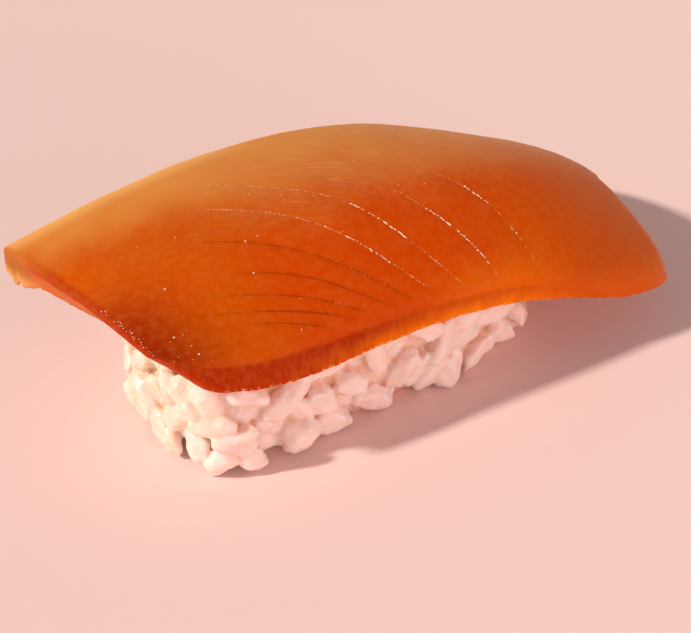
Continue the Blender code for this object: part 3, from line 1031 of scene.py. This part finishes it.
class NIGIRI_OT_add_slice(bpy.types.Operator):
    """Models the slice of fish over its solid."""

    bl_idname = "nigiri.add_slice"
    bl_label = "Slice of fish"

    def execute(self, context):
        settings = context.scene.nigiri.fish
        piece = add_slab(settings.cells_long, settings.cells_wide, CUT_ROWS)
        piece.name = "fish_slice"
        shape_slice(piece, settings)
        hand_over(piece, flesh_material(settings), "fish", "tuna_slice")
        return {"FINISHED"}


def seam_drops(draw, spacing):
    """Drops along the wet stretches of the seams: place, direction, size and length."""
    drops = []
    for name, curve, _ in seam_curves():
        for across, end, share, size in WET_STRETCHES.get(name, ()):
            while across > end:
                along = np.polyval(curve, across)
                ahead = np.polyval(curve, across - SEAM_STEP)
                lie = place_on_top(ahead, across - SEAM_STEP) - place_on_top(along, across)
                if draw.random() < share:
                    aside = draw.gauss(0, SEAM_SCATTER)
                    if size > LARGE_DROP:
                        length = draw.choice(LARGE_DROP_LENGTHS)
                    else:
                        length = draw.uniform(*SMALL_DROP_LENGTHS)
                    size_here = size * draw.uniform(*SEAM_DROP_SIZES)
                    drops.append((along + aside, across, lie, size_here, length))
                across -= spacing * draw.uniform(*SEAM_DROP_GAPS) * SEAM_STEP / lie.length
    return drops


def loose_drops(draw, count):
    """Small single drops: along the left edge, at the near corner and scattered."""
    drops = []
    for _ in range(count):
        kind = draw.random()
        if kind < LEFT_EDGE_SHARE:
            across = draw.uniform(*LEFT_EDGE_ACROSS)
            along = LEFT_EDGE_ALONG + abs(draw.gauss(0, LEFT_EDGE_SCATTER))
        elif kind < CORNER_SHARE:
            across = draw.uniform(*CORNER_ACROSS)
            along = draw.uniform(*CORNER_ALONG)
        else:
            across = draw.uniform(*OPEN_ACROSS)
            along = draw.uniform(*OPEN_ALONG)
        lie = Vector((math.cos(draw.uniform(0, 3)), math.sin(draw.uniform(0, 3)), 0))
        drops.append((along, across, lie, draw.uniform(*LOOSE_DROP_SIZES), LOOSE_DROP_LENGTH))
    for along, across in BIG_DROPS:
        drops.append((along, across, Vector((1, 0, 0)), BIG_DROP_SIZE, LOOSE_DROP_LENGTH))
    return drops


def lay_drop(model, surface, radius, along, across, lie, size, length):
    """A copy of the model set on the surface, or None beside it."""
    above = place_on_top(along, across) + Vector((0, 0, RAY_START))
    spot, normal, _, _ = surface.ray_cast(above, Vector((0, 0, -1)))
    if spot is None:
        return None
    sideways = normal.cross(lie).normalized()
    turned = Matrix((sideways.cross(normal), sideways, normal)).transposed().to_4x4()
    reach = radius * size
    scale = Matrix.Diagonal((reach * length, reach, reach * DROP_HEIGHT, 1))
    drop = model.copy()
    drop.data = model.data.copy()
    drop.data.transform(Matrix.Translation(spot) @ turned @ scale)
    bpy.context.collection.objects.link(drop)
    return drop


def drop_material(settings):
    """Water drops whose pale, milky colour, whiter in blotches, is a painted highlight, under a glossy
    coat.
    """
    recipe = Recipe("moisture")
    # Painted highlight: the drops go whiter in blotches
    colour = recipe.blend(recipe.pattern("drop glint"), settings.colour, GLINT_WHITE)
    return recipe.finish(Base_Color=colour, Roughness=0.12, IOR=1.34, Coat_Weight=0.6)


class NIGIRI_OT_add_moisture(bpy.types.Operator):
    """Models the tiny drops that stand on the slice."""

    bl_idname = "nigiri.add_moisture"
    bl_label = "Drops of moisture"

    def execute(self, context):
        settings = context.scene.nigiri.moisture
        slice_mesh = bpy.data.objects["fish_slice"]
        surface = BVHTree.FromObject(slice_mesh, context.evaluated_depsgraph_get())
        draw = random.Random(settings.seed)
        deselect_all()
        bpy.ops.mesh.primitive_ico_sphere_add(subdivisions=1, radius=1, location=(0, 0, 0))
        model = context.object
        places = seam_drops(draw, settings.spacing) + loose_drops(draw, settings.loose)
        laid = [lay_drop(model, surface, settings.drop, *place) for place in places]
        piece, *others = [drop for drop in laid if drop]
        bpy.data.objects.remove(model)
        join_into(piece, others, "moisture_drops")
        hand_over(piece, drop_material(settings), "fish")
        return {"FINISHED"}


def squareness(turn):
    return RICE_NEAR_SQUARENESS if math.sin(turn) < 0 else RICE_FAR_SQUARENESS


def rice_outline(turn, size):
    """A point on the rounded rectangle of the block, at this share of its full size."""
    c, s = math.cos(turn), math.sin(turn)
    power = squareness(turn)
    reach = size * (abs(c) ** power + abs(s) ** power) ** (-1 / power)
    x = RICE_MIDDLE_X + RICE_LENGTH / 2 * c * reach
    return x + SHIFT_X, RICE_WIDTH / 2 * s * reach + SHIFT_Y


def rice_outward(turn):
    """The level direction that points straight out of the side of the block."""
    c, s = math.cos(turn), math.sin(turn)
    power = squareness(turn) - 1
    x = math.copysign(abs(c) ** power, c) / RICE_LENGTH
    y = math.copysign(abs(s) ** power, s) / RICE_WIDTH
    return Vector((x, y, 0)).normalized()


def outward_at(x, y):
    """The level direction out of the block nearest to this place on its side."""
    turn = math.atan2((y - SHIFT_Y) / RICE_WIDTH, (x - SHIFT_X - RICE_MIDDLE_X) / RICE_LENGTH)
    return rice_outward(turn)


class Ceiling:
    """The underside of the slice's solid, over any place on the table."""

    def __init__(self):
        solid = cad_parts["tuna_slice"]
        self.tree = BVHTree.FromPolygons(
            [v.co for v in solid.data.vertices], [p.vertices for p in solid.data.polygons]
        )

    def over(self, x, y):
        """The height where the slice covers the place, or else at its nearest edge."""
        spot, _, _, _ = self.tree.ray_cast(Vector((x, y, -10 * MM)), Vector((0, 0, 1)))
        if spot is None:
            spot, _, _, _ = self.tree.find_nearest(Vector((x, y, 0)))
        return spot.z


def core_point(turn, row, ceiling):
    """A point of the core on this row, counted from the table up and over its top."""
    side_rows = CORE_ROWS - CORE_TOP_ROWS
    rising = min(row / side_rows, 1)
    closing = max(0, row - side_rows) / CORE_TOP_ROWS
    size = (1 - RICE_LEAN * rising) * (1 - CORE_CLOSING * closing) - 2 * CORE_INSET / RICE_WIDTH
    size = size - CORE_TUCK * max(0, 1 - CORE_TUCK_RISE * rising)
    x, y = rice_outline(turn, size)
    middle_x = RICE_MIDDLE_X + SHIFT_X
    x = middle_x + CORE_STRETCH * (x - middle_x)
    height = ceiling.over(x, y) - CORE_SHOULDER * (1 - closing) - CORE_BELOW_SLICE
    return x, y, max(0.0, height * rising)


def build_core(ceiling):
    """The pressed inside of the block: a ring drawn up in rows and closed at both ends."""
    deselect_all()
    bpy.ops.mesh.primitive_circle_add(vertices=CORE_AROUND, radius=1, location=(0, 0, 0))
    core = bpy.context.object
    edit_mode(True)
    select_mesh()
    for _ in range(CORE_ROWS):
        bpy.ops.mesh.extrude_region_move(TRANSFORM_OT_translate={"value": (0, 0, 1)})
    edit_mode(False)
    points = place_of(core.data)
    turns = np.arctan2(points[:, 1], points[:, 0])
    rows = np.rint(points[:, 2]).astype(int)
    set_place(core.data, [core_point(turn, row, ceiling) for turn, row in zip(turns, rows)])
    edit_mode(True)
    select_mesh("DESELECT")
    bpy.ops.mesh.select_non_manifold()
    bpy.ops.mesh.edge_face_add()
    bpy.ops.mesh.fill_holes(sides=0)
    select_mesh()
    bpy.ops.mesh.quads_convert_to_tris()
    bpy.ops.mesh.normals_make_consistent(inside=False)
    edit_mode(False)
    return core


def pressed(points, draw):
    """Flattens a unit ball a little against planes on some sides, as crowding does."""
    for _ in range(PRESSES):
        side = np.array([draw.gauss(0, 1) for _ in range(3)])
        side /= np.linalg.norm(side)
        over = np.maximum(0, points @ side - draw.uniform(*PRESS_REACH))
        points = points - PRESS_SHARE * over[:, None] * side
    return points


def model_grains(draw):
    """A few different grains of unit size, each lying along Z: plump, bent and blunt."""
    grains = []
    for number in range(MODEL_GRAINS):
        deselect_all()
        bpy.ops.mesh.primitive_ico_sphere_add(subdivisions=3, radius=1, location=(0, 0, 0))
        grain = bpy.context.object
        points = pressed(place_of(grain.data), draw)
        z = np.clip(points[:, 2], -POLE, POLE)
        blunt = np.sqrt((1 - np.abs(z) ** draw.uniform(*BLUNTNESS)) / (1 - z**2))
        taper = 1 - draw.uniform(*TAPER) * z
        lumps = 1 + waves(points, [
            (size, height, start + number) for size, height, start in (BROAD_LUMPS, SMALL_LUMPS)
        ])
        bend = draw.uniform(*BEND) * z**2
        wide = blunt * taper * lumps
        shaped = np.stack([points[:, 0] * wide + bend, points[:, 1] * wide, z * lumps], -1)
        set_place(grain.data, shaped)
        grains.append(grain)
    return grains


def lie_of(outward, slant):
    """The direction of a grain that lies against the block and slants up by this angle."""
    sideways = Vector((-outward.y, outward.x, 0))
    return sideways * math.cos(slant) + Vector((0, 0, math.sin(slant)))


def spine_of(spot, outward, slant, size):
    """Three points along the middle line of a grain."""
    half = lie_of(outward, slant) * (size.z - size.x) / 2
    return np.array([spot - half, spot, spot + half])


def front_grains():
    """The named grains: middle, outward direction, slant and size."""
    laid = []
    for place, slant, length, width, proud in FRONT_GRAINS.values():
        middle = Vector(place) * MM
        outward = outward_at(middle.x, middle.y)
        size = Vector((width, width * FRONT_THICKNESS, length)) * MM
        spot = middle + outward * (proud * MM - size.y / 2)
        laid.append((spot, outward, math.radians(slant), size))
    return laid


def in_hollow(place):
    return any((place - Vector(hollow) * MM).length < HOLLOW_REACH for hollow in FRONT_HOLLOWS)


def crowd_grains(draw, settings, ceiling, laid, inset, room):
    """Adds grains all round the side of the block wherever there is still room.

    They lie this far behind the side. Only those right at the side keep out of the hollows.
    """
    spines = np.concatenate([spine_of(*grain) for grain in laid])
    width = settings.grain_width
    for _ in range(CROWD_TRIES):
        turn = draw.uniform(0, 2 * math.pi)
        top = ceiling.over(*rice_outline(turn, CROWD_OUTLINE))
        z = draw.uniform(LOWEST_GRAIN, top)
        tuck = FOOT_TUCK * max(0, 1 - z / FOOT_HEIGHT) ** 2
        outward = rice_outward(turn)
        size = Vector((width, width * GRAIN_THICKNESS, settings.grain_length))
        size = size * draw.uniform(*GRAIN_SIZES)
        spot = Vector((*rice_outline(turn, 1 - RICE_LEAN * z / top - tuck), z))
        proud = END_PROUD * abs(outward.x) + draw.uniform(*PROUD_BY) * MM
        spot = spot + outward * (proud - inset - size.y / 2)
        if inset == 0 and in_hollow(spot + outward * size.y / 2):
            continue
        grain = (spot, outward, draw.gauss(*GRAIN_SLANT), size)
        spine = spine_of(*grain)
        if np.linalg.norm(spines[:, None] - spine[None], axis=2).min() > room:
            laid.append(grain)
            spines = np.concatenate([spines, spine])


def grain_matrix(draw, spot, outward, slant, size):
    """Lays a grain of unit size against the side of the block."""
    lie = lie_of(outward, slant) + outward * draw.uniform(-GRAIN_LEAN, GRAIN_LEAN)
    lie.normalize()
    out = (outward - lie * outward.dot(lie)).normalized()
    turned = Matrix((out.cross(lie), out, lie)).transposed().to_4x4()
    spin = Matrix.Rotation(draw.uniform(-GRAIN_SPIN, GRAIN_SPIN), 4, "Z")
    return Matrix.Translation(spot) @ turned @ spin @ Matrix.Diagonal((*(size / 2), 1))


def scatter_grains(settings, ceiling):
    """Copies of the grains laid all round the core, below the slice and above the table."""
    draw = random.Random(settings.seed)
    models = model_grains(draw)
    laid = front_grains()
    crowd_grains(draw, settings, ceiling, laid, 0, settings.spacing)
    crowd_grains(draw, settings, ceiling, laid, BEHIND, settings.spacing * BEHIND_SPACING)
    made = []
    for number, place in enumerate(laid):
        grain = models[number % len(models)].copy()
        grain.data = grain.data.copy()
        grain.data.transform(grain_matrix(draw, *place))
        lowest = place_of(grain.data)[:, 2].min()
        if lowest < 0:
            grain.data.transform(Matrix.Translation((0, 0, -lowest)))
        bpy.context.collection.objects.link(grain)
        made.append(grain)
    for model in models:
        bpy.data.objects.remove(model)
    return made


def apply_modifier(piece, kind, **values):
    """Adds one modifier and applies it."""
    bpy.context.view_layer.objects.active = piece
    modifier = piece.modifiers.new(kind.lower(), kind)
    for name, value in values.items():
        setattr(modifier, name, value)
    bpy.ops.object.modifier_apply(modifier=modifier.name)


def smooth_along_edges(mesh, values, rounds):
    """Replaces values, one row a point, by the mean of those of their neighbours."""
    edges = np.zeros(len(mesh.edges) * 2, np.int64)
    mesh.edges.foreach_get("vertices", edges)
    first, second = edges.reshape(-1, 2).T
    points = len(values)
    count = np.bincount(first, minlength=points) + np.bincount(second, minlength=points)
    for _ in range(rounds):
        values = np.stack([
            np.bincount(first, column[second], points) + np.bincount(second, column[first], points)
            for column in values.T
        ], -1) / count[:, None]
    return values


def roughen(mesh):
    """Crinkles the skin of the grains, more in some places than in others."""
    points = place_of(mesh)
    patchy = smooth_step(*CRINKLED_LIMITS, wander(points, CRINKLED_PATCH, CRINKLED_DRAW))
    height = waves(points, GRAIN_WAVES) + waves(points, GRAIN_CRINKLES) * patchy
    set_place(mesh, points + normals_of(mesh) * height[:, None])


def press_flat(mesh, ceiling):
    """Presses the grains against the slice above them and the table below."""
    points = place_of(mesh)
    for point in points:
        top = ceiling.over(point[0], point[1])
        point[2] = min(max(point[2], 0.0), top - PRESS_GAP)
    set_place(mesh, points)


def mark_gaps(mesh):
    """Keeps how deep each point lies between its neighbours, in tenths of a millimetre, which places
    the painted warm shade and glow.
    """
    points = place_of(mesh)
    around = smooth_along_edges(mesh, points, GAP_ROUNDS)
    depth = ((around - points) * normals_of(mesh)).sum(axis=1)
    keep_values(mesh, "gap", depth / GAP_UNIT)


def mark_inset(mesh):
    """Keeps how far inside the outline of the block each point lies, in millimetres, which places the
    painted shade in the open hollows.
    """
    points = place_of(mesh)
    x = (points[:, 0] - SHIFT_X - RICE_MIDDLE_X) / (RICE_LENGTH / 2)
    y = (points[:, 1] - SHIFT_Y) / (RICE_WIDTH / 2)
    power = np.where(y < 0, RICE_NEAR_SQUARENESS, RICE_FAR_SQUARENESS)
    share = (np.abs(x) ** power + np.abs(y) ** power) ** (1 / power)
    keep_values(mesh, "inset", (1 - share) * RICE_WIDTH / 2 / MM)


def mark_grains(mesh, centres, draw):
    """Keeps a tint for each point, drawn for its grain, and rosier away from the left end as a painted
    rosy bounce light.
    """
    tree = KDTree(len(centres))
    tints = []
    for number, centre in enumerate(centres):
        tree.insert(centre, number)
        # Painted rosy bounce light: grains grow rosier towards the right
        drift = BOUNCE_DRIFT * smooth_step(*BOUNCE_X, centre.x - SHIFT_X)
        tints.append(TINT_CHANCE * draw.random() + drift)
    tree.balance()
    values = np.array([tints[tree.find(point)[1]] for point in place_of(mesh)])
    keep_values(mesh, "tint_and_bounce", smooth_along_edges(mesh, values[:, None], TINT_ROUNDS)[:, 0])


def rice_material(settings):
    """Cooked rice: milky, lets light in, moist on top, with painted warm shade deep between the
    grains, a painted warm glow in the creases and painted rosy bounce light towards the right end.
    """
    recipe = Recipe("sticky_rice")
    colour = recipe.blend(recipe.zone("light grain"), settings.cream, settings.light)
    colour = recipe.blend(recipe.zone("pink grain"), colour, settings.pink)
    # Painted warm glow in the creases
    colour = recipe.blend(recipe.zone("crease_glow"), colour, settings.crease_glow)
    # Painted warm shade deep between the grains and in the hollows
    gap = recipe.combine("MAXIMUM", recipe.zone("gap"), recipe.zone("hollow"))
    colour = recipe.blend(gap, colour, settings.gap)
    colour = recipe.blend(recipe.pattern("milk"), colour, MILK_WHITE)
    return recipe.finish(
        Base_Color=colour, Roughness=recipe.pattern("wet rice"),
        Normal=recipe.relief("rice skin"), IOR=1.4,
        Subsurface_Weight=0.9, Subsurface_Radius=(1.0, 0.72, 0.56), Subsurface_Scale=1.5 * MM,
        Coat_Weight=0.25, Coat_Roughness=0.09,
    )


class NIGIRI_OT_add_rice(bpy.types.Operator):
    """Models the rice: grains stuck together round a pressed core."""

    bl_idname = "nigiri.add_rice"
    bl_label = "Pressed rice"

    def execute(self, context):
        settings = context.scene.nigiri.rice
        ceiling = Ceiling()
        grains = scatter_grains(settings, ceiling)
        centres = [Vector(place_of(grain.data).mean(axis=0)) for grain in grains]
        piece = build_core(ceiling)
        join_into(piece, grains, "pressed_rice")
        apply_modifier(piece, "REMESH", mode="VOXEL", voxel_size=settings.voxel)
        apply_modifier(piece, "DECIMATE", ratio=RICE_FACES / (2 * len(piece.data.polygons)))
        roughen(piece.data)
        press_flat(piece.data, ceiling)
        mark_gaps(piece.data)
        mark_inset(piece.data)
        mark_grains(piece.data, centres, random.Random(settings.seed))
        hand_over(piece, rice_material(settings), "rice", "rice")
        return {"FINISHED"}


def floor_material(settings):
    """A plain pale matt floor."""
    return Recipe("pale_floor").finish(Base_Color=settings.floor, Roughness=0.85)


def add_floor(settings):
    deselect_all()
    bpy.ops.mesh.primitive_plane_add(size=FLOOR_SIZE, location=(0, 0, 0))
    floor = bpy.context.object
    floor.name = "floor"
    floor.data.materials.append(floor_material(settings))


def direction(azimuth, elevation):
    """Where the piece is seen from at this azimuth, counted from its near side, in degrees."""
    azimuth = math.radians(azimuth)
    elevation = math.radians(elevation)
    level = math.cos(elevation)
    return Vector((math.sin(azimuth) * level, -math.cos(azimuth) * level, math.sin(elevation)))


def set_up(name, data, place, back):
    """Adds a light or a camera at this place, with its back to this direction."""
    thing = bpy.data.objects.new(name, data)
    thing.location = place
    thing.rotation_euler = back.to_track_quat("Z", "Y").to_euler()
    bpy.context.scene.collection.objects.link(thing)
    return thing


def add_key(settings):
    """The key light, low from the left."""
    lamp = bpy.data.lights.new("key", "SUN")
    lamp.energy = settings.key_strength
    lamp.angle = settings.key_softness
    lamp.color = KEY_COLOUR
    set_up("key", lamp, (0, 0, 0), direction(KEY_AZIMUTH, KEY_ELEVATION))


def add_fill(settings):
    """A wide soft panel, low in front, that lights the near side as the floor would."""
    panel = bpy.data.lights.new("fill", "AREA")
    panel.shape = "RECTANGLE"
    panel.size = FILL_WIDTH
    panel.size_y = FILL_HEIGHT
    panel.energy = settings.fill_power
    panel.color = FILL_COLOUR
    set_up("fill", panel, FILL_PLACE, Vector(FILL_PLACE))


def add_surroundings(settings):
    """Soft light from all round, brighter at eye level than overhead."""
    world = bpy.data.worlds.new("soft room")
    world.use_nodes = True
    tree = world.node_tree
    way = tree.nodes.new("ShaderNodeTexCoord")
    split = tree.nodes.new("ShaderNodeSeparateXYZ")
    rising = tree.nodes.new("ShaderNodeMapRange")
    rising.interpolation_type = "SMOOTHSTEP"
    rising.inputs["From Min"].default_value = DIMMER_FROM
    rising.inputs["From Max"].default_value = DIMMEST_FROM
    rising.inputs["To Min"].default_value = settings.sky_strength
    rising.inputs["To Max"].default_value = settings.sky_strength * OVERHEAD_SHARE
    back = tree.nodes["Background"]
    back.inputs["Color"].default_value = settings.sky
    tree.links.new(way.outputs["Generated"], split.inputs["Vector"])
    tree.links.new(split.outputs["Z"], rising.inputs["Value"])
    tree.links.new(rising.outputs["Result"], back.inputs["Strength"])
    bpy.context.scene.world = world


def add_camera():
    lens = bpy.data.cameras.new("camera")
    lens.sensor_fit = "HORIZONTAL"
    lens.sensor_width = SENSOR_WIDTH
    lens.lens = CAMERA_LENS
    lens.clip_start = 10 * MM
    lens.dof.use_dof = False
    back = direction(CAMERA_AZIMUTH, CAMERA_ELEVATION)
    place = Vector(CAMERA_TARGET) + back * CAMERA_DISTANCE
    bpy.context.scene.camera = set_up("camera", lens, place, back)


class NIGIRI_OT_add_stage(bpy.types.Operator):
    """Adds the floor, the lights and the camera."""

    bl_idname = "nigiri.add_stage"
    bl_label = "Floor, lights and camera"

    def execute(self, context):
        settings = context.scene.nigiri.stage
        add_floor(settings)
        add_key(settings)
        add_fill(settings)
        add_surroundings(settings)
        add_camera()
        context.scene.view_settings.view_transform = "Standard"
        return {"FINISHED"}


class NIGIRI_PT_panel(bpy.types.Panel):
    """Lists the settings and the steps that build the piece."""

    bl_idname = "NIGIRI_PT_panel"
    bl_label = "Tuna nigiri"
    bl_space_type = "VIEW_3D"
    bl_region_type = "UI"
    bl_category = "Nigiri"

    def draw(self, context):
        settings = context.scene.nigiri
        steps = {
            "fish": NIGIRI_OT_add_slice,
            "moisture": NIGIRI_OT_add_moisture,
            "rice": NIGIRI_OT_add_rice,
            "stage": NIGIRI_OT_add_stage,
        }
        for group_name, operator in steps.items():
            group = getattr(settings, group_name)
            box = self.layout.box()
            for name in group.bl_rna.properties.keys():
                if name not in ("rna_type", "name"):
                    box.prop(group, name)
            box.operator(operator.bl_idname)


CLASSES = (
    SliceSettings,
    RiceSettings,
    MoistureSettings,
    StageSettings,
    NigiriSettings,
    NIGIRI_OT_add_slice,
    NIGIRI_OT_add_moisture,
    NIGIRI_OT_add_rice,
    NIGIRI_OT_add_stage,
    NIGIRI_PT_panel,
)


def register():
    for kind in CLASSES:
        bpy.utils.register_class(kind)
    bpy.types.Scene.nigiri = PointerProperty(
        type=NigiriSettings, name="Nigiri", description="Settings"
    )


def unregister():
    del bpy.types.Scene.nigiri
    for kind in reversed(CLASSES):
        bpy.utils.unregister_class(kind)


def main():
    register()
    bpy.ops.nigiri.add_stage()
    bpy.ops.nigiri.add_slice()
    bpy.ops.nigiri.add_moisture()
    bpy.ops.nigiri.add_rice()


if __name__ == "__main__":
    main()
